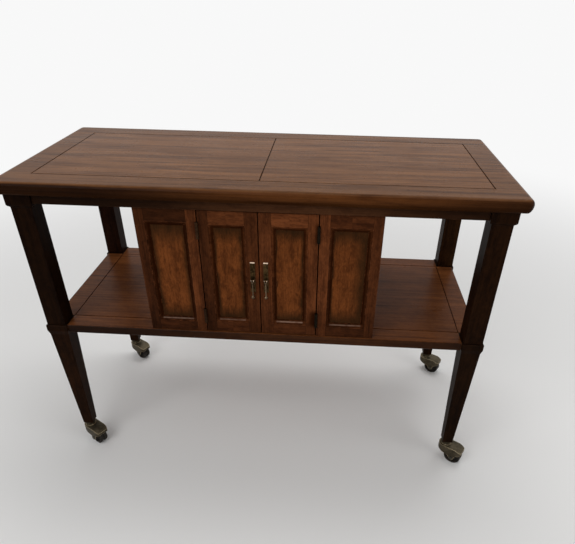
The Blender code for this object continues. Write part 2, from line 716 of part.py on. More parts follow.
def hood_side():
    """The hood from the side: its lower edge dips round the axle and rises to the nose."""
    rise = HEEL_BOTTOM - CHEEK_BOTTOM
    edge = [(-HOOD_WIDTH, HEEL_BOTTOM)] + [(TRAIL * a, CHEEK_BOTTOM + rise * b) for a, b in CHEEK_SHARES]
    lug = arc(LUG_RADIUS, LUG_START, LUG_END, COARSE // 2, (TRAIL, WHEEL_RADIUS))
    front = [(NOSE_START, (CHEEK_BOTTOM + NOSE_BOTTOM) / 2), (HOOD_REACH + OVERRUN, NOSE_BOTTOM)]
    return edge + lug + front + roof_line(0)


def side_cutter(name, outline, width):
    """A tool from an outline seen from the side, whose points are (along, height)."""
    tool = add_cutter(name, outline_mesh(name, outline, width), (0, 0, 0))
    tool.rotation_euler.x = math.pi / 2
    return tool


def make_hood(corner, pivot):
    """The caster's hood: a shell open below, with the race under the collar and the stem in the sleeve."""
    name = "caster_hood_" + corner
    height = HOOD_TOP + OVERRUN
    width = HOOD_WIDTH + OVERRUN
    plan = outline_mesh(name, hood_plan(HOOD_WIDTH / 2, HOOD_REACH), height)
    hood = add_object(name, plan, (0, 0, height / 2), ANTIQUE_BRASS)
    side = side_cutter("hood_side_" + corner, hood_side(), width)
    hollow_plan = hood_plan(HOOD_WIDTH / 2 - HOOD_WALL, HOOD_REACH - HOOD_WALL)
    hollow = outline_mesh("hollow_" + corner, hollow_plan, height)
    hollow = add_cutter("hollow_" + corner, hollow, (0, 0, height / 2))
    ceiling = [(-HOOD_WIDTH, OVERRUN), (HOOD_REACH + OVERRUN, OVERRUN)] + roof_line(HOOD_WALL)
    roof = side_cutter("hollow_roof_" + corner, ceiling, width)
    combine(hollow, roof, "INTERSECT")
    stem_top = CASTER_HEIGHT + SLEEVE_LENGTH
    profile = (
        (0, stem_top),
        (CASTER_STEM_RADIUS, stem_top),
        (CASTER_STEM_RADIUS, NECK_TOP),
        (NECK_RADIUS, NECK_TOP),
        (NECK_RADIUS, NECK_BOTTOM),
        (0, NECK_BOTTOM),
    )
    neck = add_cutter("neck_" + corner, profile_mesh("neck_" + corner, profile, False), (0, 0, 0))
    screw(neck, MEDIUM, False)
    axle_bore = cylinder_mesh("axle_bore_" + corner, AXLE_RADIUS + FIT, width, COARSE)
    axle_bore = add_cutter("axle_bore_" + corner, axle_bore, (TRAIL, 0, WHEEL_RADIUS))
    axle_bore.rotation_euler.x = math.pi / 2
    combine(hood, side, "INTERSECT")
    combine(hood, hollow, "DIFFERENCE")
    combine(hood, neck, "UNION")
    combine(hood, axle_bore, "DIFFERENCE")
    for thing in (hood, side, hollow, roof, neck, axle_bore):
        thing.parent = pivot


def make_axle(corner, pivot):
    seat = HOOD_WIDTH / 2 + FIT
    end = seat + AXLE_HEAD_HEIGHT
    half = ((0, end), (AXLE_HEAD_RADIUS, end), (AXLE_HEAD_RADIUS, seat), (AXLE_RADIUS, seat))
    profile = half + tuple((radius, -height) for radius, height in reversed(half))
    axle = turned("caster_axle_" + corner, profile, COARSE, (TRAIL, 0, WHEEL_RADIUS), STEEL)
    axle.rotation_euler.x = math.pi / 2
    axle.parent = pivot


def make_wheel(corner, pivot):
    """The wheel, with a flat facet down. Its origin is on its axle."""
    rim = WHEEL_RADIUS / math.cos(math.pi / MEDIUM)
    half = (
        (AXLE_RADIUS + FIT, HUB_WIDTH / 2),
        (HUB_RADIUS, HUB_WIDTH / 2),
        (HUB_RADIUS, WEB_WIDTH / 2),
        (rim - RIM_WIDTH, WEB_WIDTH / 2),
        (rim - RIM_WIDTH, WHEEL_WIDTH / 2 - TREAD_CROWN),
        (rim - TREAD_CROWN, WHEEL_WIDTH / 2),
        (rim, WHEEL_WIDTH / 2 - TREAD_EASE),
        (rim, GROOVE_WIDTH / 2),
        (rim - GROOVE_DEPTH, GROOVE_WIDTH / 2),
    )
    profile = half + tuple((radius, -height) for radius, height in reversed(half))
    wheel = turned("caster_wheel_" + corner, profile, MEDIUM, (0, 0, 0), RUBBER, True)
    axle_pivot = add_pivot("wheel_axis_" + corner, (TRAIL, 0, WHEEL_RADIUS), pivot)
    wheel.rotation_euler = (math.pi / 2, math.pi / MEDIUM, 0)
    wheel.parent = axle_pivot


def make_caster(corner, x, y):
    make_collar(corner, x, y)
    pivot = add_pivot("swivel_axis_" + corner, (x, y, 0), turn=CASTER_TURN)
    make_hood(corner, pivot)
    make_axle(corner, pivot)
    make_wheel(corner, pivot)


def shade_smooth_rounds():
    """Smooth shading with sharp edges kept on the round metal and rubber pieces."""
    for thing in bpy.data.collections["bar_cart_cabinet"].objects:
        if thing.type == "MESH" and thing.name.startswith(("caster_hood", "hinge")):
            thing.data.shade_smooth()
            thing.data.set_sharp_from_angle(angle=math.radians(35))


def main():
    for thing in list(bpy.data.objects):
        bpy.data.objects.remove(thing)
    add_collection("bar_cart_cabinet")
    add_collection("cutters")
    corners = []
    for depth, sign_y in (("front", -1), ("rear", 1)):
        for side, sign_x in (("left", -1), ("right", 1)):
            corners.append((f"{depth}_{side}", sign_x * POST_X, sign_y * POST_Y))
    make_top()
    make_aprons()
    for corner, x, y in corners:
        make_post(corner, x, y)
        make_leg(corner, x, y)
        make_caster(corner, x, y)
    make_shelf(corners)
    make_cabinet_shell()
    make_fixed_units()
    make_door("left", -1)
    make_door("right", 1)
    make_catch()
    shade_smooth_rounds()


main()
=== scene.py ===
"""Looks of the rolling bar cart: wood, metal and rubber, finer round pieces, light and camera."""
import math
from collections import namedtuple

import bmesh
import bpy
from mathutils import Matrix, Vector


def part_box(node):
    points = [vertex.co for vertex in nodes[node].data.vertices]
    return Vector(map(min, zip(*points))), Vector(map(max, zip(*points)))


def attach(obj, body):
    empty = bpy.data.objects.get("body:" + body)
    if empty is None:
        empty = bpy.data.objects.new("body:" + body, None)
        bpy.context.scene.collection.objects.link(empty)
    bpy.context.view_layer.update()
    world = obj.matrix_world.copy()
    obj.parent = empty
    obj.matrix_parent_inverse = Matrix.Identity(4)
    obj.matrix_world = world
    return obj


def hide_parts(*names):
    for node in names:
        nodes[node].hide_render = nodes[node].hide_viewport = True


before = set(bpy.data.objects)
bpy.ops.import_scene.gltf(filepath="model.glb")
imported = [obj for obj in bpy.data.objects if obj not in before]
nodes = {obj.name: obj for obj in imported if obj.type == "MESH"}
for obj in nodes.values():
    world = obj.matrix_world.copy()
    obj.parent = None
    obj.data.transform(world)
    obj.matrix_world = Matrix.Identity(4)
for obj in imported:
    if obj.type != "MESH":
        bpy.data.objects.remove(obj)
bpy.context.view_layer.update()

# Places and sizes that part.py gives, in metres, and the turn of its casters
TOP_Z = 0.841
TOP_LINE_X = 0.538
TOP_LINE_Y = 0.191
SHELF_Z = 0.4465
SHELF_FRONT_Y = -0.2435
POST_X = 0.555
POST_Y = 0.2205
STILE = 0.0245
MEETING_STILE = 0.030
TOP_RAIL = 0.0335
BOTTOM_RAIL = 0.030
MOULDING = 0.010
FRONT_Y = -0.2398
PLATE_TOP = 0.6575
PULL_PIN = (0.0163, -0.2491, 0.611)
PENDANT_LENGTH = 0.052
BALL_RADIUS = 0.0047
FIT = 0.0003
CASTER_TURN = math.radians(-32)
TRAIL = 0.029
WHEEL_RADIUS = 0.025
AXLE_RADIUS = 0.003
HOOD_HALF = 0.020
HOOD_REACH = 0.056
HOOD_TOP = 0.060
HOOD_WALL = 0.0018
ROOF_BREAK = 0.038
NOSE_START = 0.041
NOSE_TOP = 0.0525
LUG_RADIUS = 0.0075
NECK_RADIUS = 0.0145
NECK_BOTTOM = 0.053
NECK_TOP = 0.0615
STEM_RADIUS = 0.005
STEM_TOP = 0.108
LEG_FOOT = 0.072
COLLAR_RADIUS = 0.015
SLEEVE_RADIUS = 0.0068

# Colours of the woods, pale and dark, and of the painted highlights on wood and metal
TOP_PALE, TOP_DARK = (0.205, 0.090, 0.035), (0.064, 0.0240, 0.0088)
FRONT_PALE, FRONT_DARK = (0.165, 0.0490, 0.0155), (0.062, 0.0175, 0.0056)
PANEL_PALE, PANEL_DARK = (0.175, 0.0510, 0.0125), (0.070, 0.0195, 0.0048)
POST_PALE, POST_DARK = (0.021, 0.0073, 0.0025), (0.0068, 0.0023, 0.0008)
SHELF_PALE, SHELF_DARK = (0.205, 0.068, 0.0205), (0.080, 0.0250, 0.0078)
APRON_PALE, APRON_DARK = (0.100, 0.0385, 0.0155), (0.042, 0.0150, 0.0060)
CATCH_PALE, CATCH_DARK = (0.24, 0.13, 0.065), (0.13, 0.065, 0.03)
HIGHLIGHT_WOOD = (0.37, 0.235, 0.170)
HIGHLIGHT_METAL = (0.86, 0.66, 0.50)

# A frame's left and right side, foot and top, its stiles' widths, and the levels of its stiles and rails
Members = namedtuple("Members", "x0 x1 foot top left_width right_width left_level right_level "
                                "upper_level lower_level")


# Node helpers

def new_material(name):
    material = bpy.data.materials.new(name)
    material.use_nodes = True
    return material, material.node_tree, material.node_tree.nodes["Principled BSDF"]


def feed(tree, node, inputs):
    """Gives a node's sockets, by name or number, their values or links them to other sockets."""
    for key, value in inputs.items():
        if isinstance(value, bpy.types.NodeSocket):
            tree.links.new(value, node.inputs[key])
        else:
            node.inputs[key].default_value = value


def make(tree, kind, inputs=None, **settings):
    """A shader node with its settings and inputs."""
    node = tree.nodes.new("ShaderNode" + kind)
    for key, value in settings.items():
        setattr(node, key, value)
    feed(tree, node, inputs or {})
    return node


def calc(tree, operation, a, b=0.0, c=0.0):
    return make(tree, "Math", {0: a, 1: b, 2: c}, operation=operation).outputs[0]


def product(tree, *factors):
    result = factors[0]
    for factor in factors[1:]:
        result = calc(tree, "MULTIPLY", result, factor)
    return result


def mix(tree, factor, a, b):
    """The value a where the factor is 0, b where it is 1, and between them elsewhere."""
    return make(tree, "Mix", {0: factor, 2: a, 3: b}, data_type="FLOAT").outputs[0]


def ramp(tree, value, low, high, to_low=0.0, to_high=1.0):
    """value, mapped smoothly from low..high to to_low..to_high and held there outside."""
    inputs = {0: value, 1: low, 2: high, 3: to_low, 4: to_high}
    return make(tree, "MapRange", inputs, interpolation_type="SMOOTHSTEP").outputs[0]


def blend_colors(tree, factor, a, b, mode="MIX"):
    """Two colours, each three numbers or a socket, blended by the factor."""
    a, b = (color if isinstance(color, bpy.types.NodeSocket) else (*color, 1) for color in (a, b))
    return make(tree, "Mix", {0: factor, 6: a, 7: b}, data_type="RGBA", blend_type=mode).outputs[2]


def noise(tree, vector, detail=3.0, rough=0.5, distortion=0.0):
    inputs = {"Vector": vector, "Scale": 1.0, "Detail": detail, "Roughness": rough, "Distortion": distortion}
    return make(tree, "TexNoise", inputs).outputs[0]


def place(tree):
    """The point's X, Y and Z in metres, which ride with the piece."""
    coordinates = make(tree, "TexCoord").outputs["Object"]
    return make(tree, "SeparateXYZ", {0: coordinates}).outputs


def stretch(tree, along, side_a, side_b, scale_along, scale_across, shift):
    """A vector for grain: drawn out along one direction, moved by shift so that pieces differ."""
    return make(tree, "CombineXYZ", {
        0: calc(tree, "MULTIPLY_ADD", along, scale_along, shift),
        1: calc(tree, "MULTIPLY_ADD", side_a, scale_across, shift * 1.7),
        2: calc(tree, "MULTIPLY_ADD", side_b, scale_across, shift * 0.6),
    }).outputs[0]


def speckle(tree, x, y, z, scale, shift, detail, rough):
    """Noise that is alike in all directions."""
    return noise(tree, stretch(tree, x, y, z, scale, scale, shift), detail, rough)


def edge_mask(tree, radius, full_turn):
    """1 along a piece's edges and 0 on its faces. full_turn is the cosine of the turn at which it is 1."""
    rounded = make(tree, "Bevel", {"Radius": radius}, samples=4).outputs[0]
    flat = make(tree, "NewGeometry").outputs["Normal"]
    turn = make(tree, "VectorMath", {0: rounded, 1: flat}, operation="DOT_PRODUCT").outputs["Value"]
    return ramp(tree, turn, 0.99, full_turn)


def bump(tree, height, strength, distance):
    return make(tree, "Bump", {"Strength": strength, "Distance": distance, "Height": height}).outputs[0]


def insets(tree, x, z, rect):
    """How far inside a rectangle a point is from its left, right, foot and top."""
    x0, x1, z0, z1 = rect
    return [calc(tree, "SUBTRACT", a, b) for a, b in ((x, x0), (x1, x), (z, z0), (z1, z))]


def inside(tree, x, z, rect, soft):
    """1 inside a rectangle and 0 outside it."""
    return product(tree, *(ramp(tree, inset, -soft, soft) for inset in insets(tree, x, z, rect)))


def edge_shade(tree, x, z, rect, widths):
    """1 well inside a rectangle and 0 at its edges, with a limit that wanders by up to 10 mm.

    widths are how far the shade reaches in from the left, the right, the foot and the top.
    """
    spot = make(tree, "CombineXYZ", {0: calc(tree, "MULTIPLY", x, 30), 1: calc(tree, "MULTIPLY", z, 18)})
    loose = mix(tree, noise(tree, spot.outputs[0]), -0.010, 0.010)
    reaches = []
    for inset, width in zip(insets(tree, x, z, rect), widths):
        reaches.append(ramp(tree, calc(tree, "ADD", inset, loose), 0, width))
    return product(tree, *reaches)


def scaled(color, factor, lift=0.0):
    """A colour times a factor, plus a lift, and never over 1."""
    return tuple(min(1.0, value * factor + lift) for value in color)


def tinted(color, tint):
    return tuple(a * b for a, b in zip(color, tint))


def cover(node, material):
    thing = nodes[node]
    thing.data.materials.clear()
    thing.data.materials.append(material)


# Wood

def split_frame(tree, x, z, members):
    """Where a point is in a frame.

    Gives 1 in a rail, 1 in the upper half, 1 in the right half, and the distance from the nearer stile,
    which is below 0 within the stile.
    """
    from_left = calc(tree, "SUBTRACT", x, members.x0 + members.left_width)
    from_right = calc(tree, "SUBTRACT", members.x1 - members.right_width, x)
    from_stile = calc(tree, "MINIMUM", from_left, from_right)
    rail = calc(tree, "GREATER_THAN", from_stile, 0.0)
    upper = calc(tree, "GREATER_THAN", z, (members.foot + members.top) / 2)
    right = calc(tree, "GREATER_THAN", from_left, from_right)
    return rail, upper, right, from_stile


def member_grain(tree, x, z, rail, upper, right):
    """The places along and across a frame's grain, shifted along it so that its members differ."""
    shift = calc(tree, "ADD", product(tree, rail, 3.1), calc(tree, "ADD", product(tree, upper, rail), right))
    return calc(tree, "ADD", mix(tree, rail, z, x), shift), mix(tree, rail, x, z)


def member_level(tree, z, members, rail, upper, right, from_stile):
    """Each member's tone with painted shade, lower at stiles' ends and in the seams between members."""
    in_stile = mix(tree, right, members.left_level, members.right_level)
    in_rail = mix(tree, upper, members.lower_level, members.upper_level)
    foot = ramp(tree, calc(tree, "SUBTRACT", z, members.foot), 0.0, 0.12, 0.58, 1.0)
    head = ramp(tree, calc(tree, "SUBTRACT", members.top, z), 0.0, 0.10, 0.88, 1.0)
    strength = mix(tree, rail, product(tree, in_stile, foot, head), in_rail)
    seam = ramp(tree, calc(tree, "ABSOLUTE", from_stile), 0.0, 0.0008, 0.35, 1.0)
    return calc(tree, "MULTIPLY", strength, seam)


def wood(name, pale, dark, run, seed, *, rough=0.40, specular=0.02, rings=34, figure=1.0, contrast=1.0,
         mottle=0.4, fine=330, clouds=1.2, wear=0.5, level=None, shade=None, painted_highlight=None, members=None,
         shade_tint=(0.30, 0.24, 0.12)):
    """Stained and lacquered wood.

    run is the direction of the grain, and seed moves it, so that pieces differ. rings and fine are how many
    growth rings and thin lines lie in a metre, and figure is how far the rings wander. contrast, clouds and
    mottle are the strengths of the grain, of broad clouds and of small blotches. wear is how much the edges
    are rubbed.
    level, shade and painted_highlight are functions of the place. level is a factor on the colour, which on
    some pieces holds painted shade. shade is where painted shade and dark glaze lie, in a colour that
    shade_tint makes of dark, and painted_highlight is where a pale highlight is painted.
    members is for a frame, whose stiles run upright and whose rails lie along X.
    """
    material, tree, shader = new_material(name)
    x, y, z = place(tree)
    along, side_a, side_b = {"x": (x, y, z), "y": (y, x, z), "z": (z, x, y)}[run]
    if members:
        rail, upper, right, from_stile = split_frame(tree, x, z, members)
        along, side_a = member_grain(tree, x, z, rail, upper, right)
        side_b = y

    def grain(scale_along, scale_across, shift, detail, roughness, distortion=0.0):
        vector = stretch(tree, along, side_a, side_b, scale_along, scale_across, seed + shift)
        return noise(tree, vector, detail, roughness, distortion)

    broad = grain(1.6, 13, 0, 3, 0.55, 0.3)
    cloud = grain(5, 26, 5, 2, 0.5, 0.6)
    streak = grain(fine / 66, fine, 2, 4, 0.62)
    blotch = grain(34, 62, 7, 4, 0.62, 0.8)
    fleck = grain(120, 420, 8, 3, 0.6)
    pores = ramp(tree, grain(55, 1500, 3, 2, 0.5), 0.60, 0.70)
    ring_at = calc(tree, "MULTIPLY_ADD", broad, 5.5 * figure, calc(tree, "MULTIPLY", side_a, rings))
    wave = calc(tree, "SINE", calc(tree, "MULTIPLY", ring_at, math.tau))
    ring = calc(tree, "POWER", calc(tree, "MULTIPLY_ADD", wave, 0.5, 0.5), 1.8)

    tone = calc(tree, "MULTIPLY_ADD", ring, -0.24 * contrast, 0.58)
    patterns = ((streak, 1.5 * contrast), (cloud, clouds), (blotch, 2.2 * mottle), (fleck, 1.4 * mottle))
    for pattern, strength in patterns:
        tone = calc(tree, "MULTIPLY_ADD", calc(tree, "SUBTRACT", pattern, 0.5), strength, tone)
    color = blend_colors(tree, tone, dark, pale)
    color = blend_colors(tree, calc(tree, "MULTIPLY", pores, 0.38), color, scaled(dark, 0.35))
    if members:
        frame_level = member_level(tree, z, members, rail, upper, right, from_stile)
        color = blend_colors(tree, 1.0, color, frame_level, "MULTIPLY")
    if level:
        color = blend_colors(tree, 1.0, color, level(tree, x, y, z), "MULTIPLY")
    shine = specular
    # Painted shade and dark glaze darken the colour and take off some of its gloss
    if shade:
        shade_and_glaze = shade(tree, x, y, z)
        color = blend_colors(tree, shade_and_glaze, color, tinted(dark, shade_tint))
        shine = mix(tree, shade_and_glaze, specular, specular * 0.15)
    # A pale painted highlight
    if painted_highlight:
        color = blend_colors(tree, painted_highlight(tree, x, y, z), color, HIGHLIGHT_WOOD)
    patchy = ramp(tree, speckle(tree, x, y, z, 60, seed, 4, 0.6), 0.44, 0.62)
    worn = product(tree, edge_mask(tree, 0.0022, 0.90), patchy, wear)
    color = blend_colors(tree, worn, color, scaled(pale, 1.5, 0.008))

    smudge = speckle(tree, x, y, z, 9, seed + 9, 4, 0.6)
    roughness = calc(tree, "MULTIPLY_ADD", pores, 0.12, mix(tree, smudge, rough - 0.08, rough + 0.08))
    height = calc(tree, "MULTIPLY_ADD", pores, -0.7, calc(tree, "MULTIPLY", streak, 0.5))
    feed(tree, shader, {"Base Color": color, "Roughness": roughness, "Specular IOR Level": shine,
                        "Normal": bump(tree, height, 0.22, 0.0003)})
    return material


def painted_falloff(tree, x, low, left_end=-0.40, left_full=0.10, right_full=0.20, right_end=0.64):
    """Painted shade along X: a factor on the colour that makes it darker towards both ends.

    It rises from low at left_end to 1 at left_full, and falls from 1 at right_full to a little over low at
    right_end.
    """
    left = ramp(tree, x, left_end, left_full, low, 1.0)
    right = ramp(tree, x, right_end, right_full, low + 0.12, 1.0)
    return calc(tree, "MULTIPLY", left, right)


def routed_lines(tree, x, y, z, face_z, half_x, half_y):
    """1 in the lines routed into an upper face, whose floors lie under it. half_x and half_y limit them."""
    sunk = ramp(tree, calc(tree, "SUBTRACT", face_z, z), 0.0001, 0.0005)
    near_face = calc(tree, "GREATER_THAN", z, face_z - 0.003)
    within_x = calc(tree, "LESS_THAN", calc(tree, "ABSOLUTE", x), half_x)
    within_y = calc(tree, "LESS_THAN", calc(tree, "ABSOLUTE", y), half_y)
    return product(tree, sunk, near_face, within_x, within_y)


# Painted shade on the front and back aprons, darker towards their ends
def apron_painted_shade(tree, x, y, z):
    return painted_falloff(tree, x, 0.14, left_full=0.18, right_full=0.0, right_end=0.56)


def top_border_and_painted_nose_shade(tree, x, y, z):
    """Border a little darker than the field, and painted shade: the nose much darker and redder."""
    to_ends = ramp(tree, calc(tree, "ABSOLUTE", x), TOP_LINE_X - 0.002, TOP_LINE_X + 0.001)
    to_sides = ramp(tree, calc(tree, "ABSOLUTE", y), TOP_LINE_Y - 0.002, TOP_LINE_Y + 0.001)
    face_level = mix(tree, calc(tree, "MAXIMUM", to_ends, to_sides), 1.0, 0.84)
    nose = ramp(tree, z, TOP_Z - 0.0006, TOP_Z - 0.0048)
    nose_painted_shade = calc(tree, "MULTIPLY", painted_falloff(tree, x, 0.26), 0.57)
    tint = blend_colors(tree, nose, (1.0, 1.0, 1.0), (1.0, 0.76, 0.52))
    return blend_colors(tree, 1.0, tint, mix(tree, nose, face_level, nose_painted_shade), "MULTIPLY")


def top_shade(tree, x, y, z):
    """Painted shade and dark glaze in the routed lines, and painted shade on the underside's edge."""
    lines = routed_lines(tree, x, y, z, TOP_Z, TOP_LINE_X + 0.007, TOP_LINE_Y + 0.009)
    underside_shade = ramp(tree, z, TOP_Z - 0.014, TOP_Z - 0.024, 0.0, 0.6)
    return calc(tree, "MAXIMUM", lines, underside_shade)


def shelf_painted_edge_shade(tree, x, y, z):
    """Painted shade: the shelf's front edge is darker than its face, and more so to the left."""
    front = ramp(tree, y, SHELF_FRONT_Y + 0.003, SHELF_FRONT_Y + 0.001)
    return mix(tree, front, 1.0, calc(tree, "MULTIPLY", painted_falloff(tree, x, 0.30), 0.30))


def shelf_shade(tree, x, y, z):
    """Painted shade and dark glaze in the routed lines and eased ends, not the eased front and back."""
    past_ends = POST_X + 0.1
    short_of_front = -SHELF_FRONT_Y - 0.0085
    return product(tree, routed_lines(tree, x, y, z, SHELF_Z, past_ends, short_of_front), 0.9)


look = wood("top_wood", TOP_PALE, TOP_DARK, "x", 3.0, rough=0.28, specular=0.027, rings=14,
            figure=0.8, contrast=1.25, mottle=0.22, fine=130, clouds=0.5, wear=0.2, level=top_border_and_painted_nose_shade,
            shade=top_shade)
cover("top_slab", look)
for number, (side, run) in enumerate((("front", "x"), ("back", "x"), ("left", "y"), ("right", "y"))):
    level = apron_painted_shade if run == "x" else None
    look = wood("apron_wood_" + side, APRON_PALE, APRON_DARK, run, 11.0 + number, level=level)
    cover("apron_" + side, look)

# Each corner's tints of its post and its leg, and its post's shine. The tints are painted light and shade:
# the front posts darker and the rear posts lighter
POSTS = (
    ("front_left", (0.58, 0.62, 0.66), (1.0, 1.0, 0.9), 0.015),
    ("front_right", (0.88, 0.90, 0.86), (0.74, 0.80, 0.80), 0.018),
    ("rear_left", (1.10, 1.00, 1.30), (1.0, 1.0, 0.9), 0.014),
    ("rear_right", (1.75, 1.95, 1.80), (1.0, 1.0, 0.9), 0.014),
)
for number, (corner, post_light_tint, leg_light_tint, post_shine) in enumerate(POSTS):
    for part, tint, shine, seed in (("post", post_light_tint, post_shine, 20.0), ("leg", leg_light_tint, 0.02, 30.0)):
        pale, dark = tinted(POST_PALE, tint), tinted(POST_DARK, tint)
        look = wood(f"{part}_wood_{corner}", pale, dark, "z", seed + number, specular=shine, mottle=0.8)
        cover(f"{part}_{corner}", look)

look = wood("shelf_wood", SHELF_PALE, SHELF_DARK, "x", 41.0, rough=0.30, specular=0.050, rings=14,
            figure=0.9, contrast=1.15, mottle=0.45, fine=150, clouds=0.8, wear=0.3, level=shelf_painted_edge_shade,
            shade=shelf_shade)
cover("lower_shelf", look)
for number, side in enumerate(("left", "right")):
    cover("cabinet_side_" + side, wood("side_wood_" + side, FRONT_PALE, FRONT_DARK, "z", 50.0 + number))
cover("cabinet_back", wood("back_wood", FRONT_PALE, FRONT_DARK, "z", 55.0, rough=0.42))
cover("door_catch", wood("catch_wood", CATCH_PALE, CATCH_DARK, "x", 57.0, rough=0.6))

# How far painted shadow and dirt spread beside the right door's hinges
HINGE_SHADOW_AND_DIRT = (("lower", 0.013), ("upper", 0.004))

# Each front piece: its kind and side, the widths of its left and right stile, the levels of these stiles and
# of its upper and lower rail, which hold painted shade along with their own tone, how far painted shadow and
# glaze reach over its panel from the left, right, foot and top, and how bright its lower moulding's painted
# highlight is
FRONTS = (
    ("fixed", "left", (STILE, STILE), (0.44, 0.88, 0.26, 0.34), (0.014, 0.014, 0.044, 0.072), 0.40),
    ("door", "left", (STILE, MEETING_STILE), (0.44, 0.60, 0.74, 0.48), (0.008, 0.014, 0.042, 0.046), 0.32),
    ("door", "right", (MEETING_STILE, STILE), (0.80, 0.98, 1.04, 0.50), (0.002, 0.010, 0.036, 0.040), 0.54),
    ("fixed", "right", (STILE, STILE), (1.04, 0.71, 0.58, 0.37), (0.005, 0.038, 0.050, 0.054), 0.37),
)


def dress_front(number, kind, side, stiles, levels, reaches, highlight_strength):
    """The looks of a frame and of the panel in it."""
    low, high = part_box(f"{kind}_frame_{side}")
    left, right = low.x + stiles[0], high.x - stiles[1]
    foot, top = low.z + BOTTOM_RAIL, high.z - TOP_RAIL
    hinge_shadow_and_dirt = HINGE_SHADOW_AND_DIRT if (kind, side) == ("door", "right") else ()

    def frame_shade(tree, x, y, z):
        """Painted shade and glaze on the moulding, less on its lower run; painted shadow and dirt by the
        hinges.
        """
        height = calc(tree, "SUBTRACT", z, foot)
        deep = ramp(tree, y, FRONT_Y + 0.0003, FRONT_Y + 0.0040, 0.30, 0.88)
        over_ledge = ramp(tree, height, MOULDING * 0.8, MOULDING * 1.1, 0.30, 1.0)
        under_ledge = ramp(tree, height, 0.0005, 0.0045, 0.80, 0.0)
        off_lit_ledge = calc(tree, "MAXIMUM", over_ledge, under_ledge)
        mask = product(tree, inside(tree, x, z, (left, right, foot, top), 0.0008), off_lit_ledge, deep)
        # Painted shadow and dirt beside the right door's hinges
        for level, spread in hinge_shadow_and_dirt:
            leaf_low, leaf_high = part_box(f"hinge_door_leaf_{level}_right")
            patch = (leaf_low.x - spread, leaf_high.x, leaf_low.z - 0.002, leaf_high.z + 0.002)
            hinge_shade_patch = calc(tree, "MULTIPLY", inside(tree, x, z, patch, 0.009), 0.80)
            mask = calc(tree, "MAXIMUM", mask, hinge_shade_patch)
        return mask

    def ledge_painted_highlight(tree, x, y, z):
        """A painted highlight along a thin line on the moulding's lower run."""
        highlight_band = (left + MOULDING * 0.9, right - MOULDING * 0.9, foot + 0.0042, foot + 0.0068)
        patchy = noise(tree, stretch(tree, x, z, y, 60, 100, 4.0), 3, 0.6)
        strength = ramp(tree, patchy, 0.3, 0.6, 0.28 * highlight_strength, highlight_strength)
        return calc(tree, "MULTIPLY", inside(tree, x, z, highlight_band, 0.0009), strength)

    def panel_shadow_and_glaze(tree, x, y, z):
        """Painted shadow and dark glaze round the panel, widest at its top and foot."""
        sight = (left + MOULDING, right - MOULDING, foot + MOULDING, top - MOULDING)
        return mix(tree, edge_shade(tree, x, z, sight, reaches), 0.80, 0.0)

    members = Members(low.x, high.x, low.z, high.z, *stiles, *levels)
    look = wood(f"{kind}_frame_wood_{side}", FRONT_PALE, FRONT_DARK, "z", 60.0 + number, rings=40,
                figure=0.8, contrast=0.9, mottle=0.8, fine=260, shade=frame_shade, painted_highlight=ledge_painted_highlight,
                members=members)
    cover(f"{kind}_frame_{side}", look)
    look = wood(f"{kind}_panel_wood_{side}", PANEL_PALE, PANEL_DARK, "z", 70.0 + number, rings=12,
                figure=2.4, contrast=0.6, mottle=1.0, fine=260, shade=panel_shadow_and_glaze,
                shade_tint=(0.24, 0.50, 0.90))
    cover(f"{kind}_panel_{side}", look)


for number, front in enumerate(FRONTS):
    dress_front(number, *front)


# Metal and rubber

def metal(name, bright, dull, *, rough, seed, patina, crust=(0.025, 0.020, 0.012), highlight_band=None, rub_and_highlight=1.5,
          edge_width=0.0015):
    """Antiqued metal, between a bright and a dull colour.

    patina is the strength of its dark spots, whose colour is crust. rub_and_highlight is how much
    brighter its edges are, to edge_width from them: rubbed wear, and on the hoods a painted highlight along
    their ridges. highlight_band is a span of heights that gets a painted highlight.
    """
    material, tree, shader = new_material(name)
    x, y, z = place(tree)
    mottle = speckle(tree, x, y, z, 190, seed, 5, 0.65)
    cloud = speckle(tree, x, y, z, 45, seed + 1, 3, 0.5)
    color = blend_colors(tree, ramp(tree, mix(tree, 0.5, mottle, cloud), 0.36, 0.62), dull, bright)
    # Brighter edges: rubbed wear, and on the hoods a painted highlight along their ridges
    edge = edge_mask(tree, edge_width, 0.88)
    color = blend_colors(tree, calc(tree, "MULTIPLY", edge, 0.75), color, scaled(bright, rub_and_highlight))
    spots = ramp(tree, speckle(tree, x, y, z, 420, seed + 2, 3, 0.6), 0.56, 0.68, 0.0, patina)
    color = blend_colors(tree, spots, color, crust)
    # A painted highlight across the band of heights
    if highlight_band:
        low, high = highlight_band
        height = calc(tree, "MINIMUM", calc(tree, "SUBTRACT", z, low), calc(tree, "SUBTRACT", high, z))
        in_highlight_band = ramp(tree, height, -0.0004, 0.0004)
        painted_gleam = calc(tree, "MULTIPLY", in_highlight_band, ramp(tree, cloud, 0.3, 0.55, 0.6, 0.95))
        color = blend_colors(tree, painted_gleam, color, HIGHLIGHT_METAL)
    roughness = calc(tree, "MULTIPLY_ADD", spots, 0.25, mix(tree, mottle, rough - 0.11, rough + 0.11))
    feed(tree, shader, {"Base Color": color, "Metallic": 1.0, "Roughness": roughness,
                        "Normal": bump(tree, mottle, 0.18, 0.0003)})
    return material


def rubber(name, seed):
    """Black rubber with pale dust on it."""
    material, tree, shader = new_material(name)
    x, y, z = place(tree)
    dust = ramp(tree, speckle(tree, x, y, z, 130, seed, 5, 0.65), 0.42, 0.66)
    grain = speckle(tree, x, y, z, 1400, seed, 2, 0.5)
    color = blend_colors(tree, dust, (0.010, 0.0080, 0.0064), (0.034, 0.027, 0.021))
    roughness = mix(tree, dust, 0.52, 0.70)
    feed(tree, shader, {"Base Color": color, "Roughness": roughness, "Specular IOR Level": 0.15,
                        "Normal": bump(tree, grain, 0.25, 0.0002)})
    return material


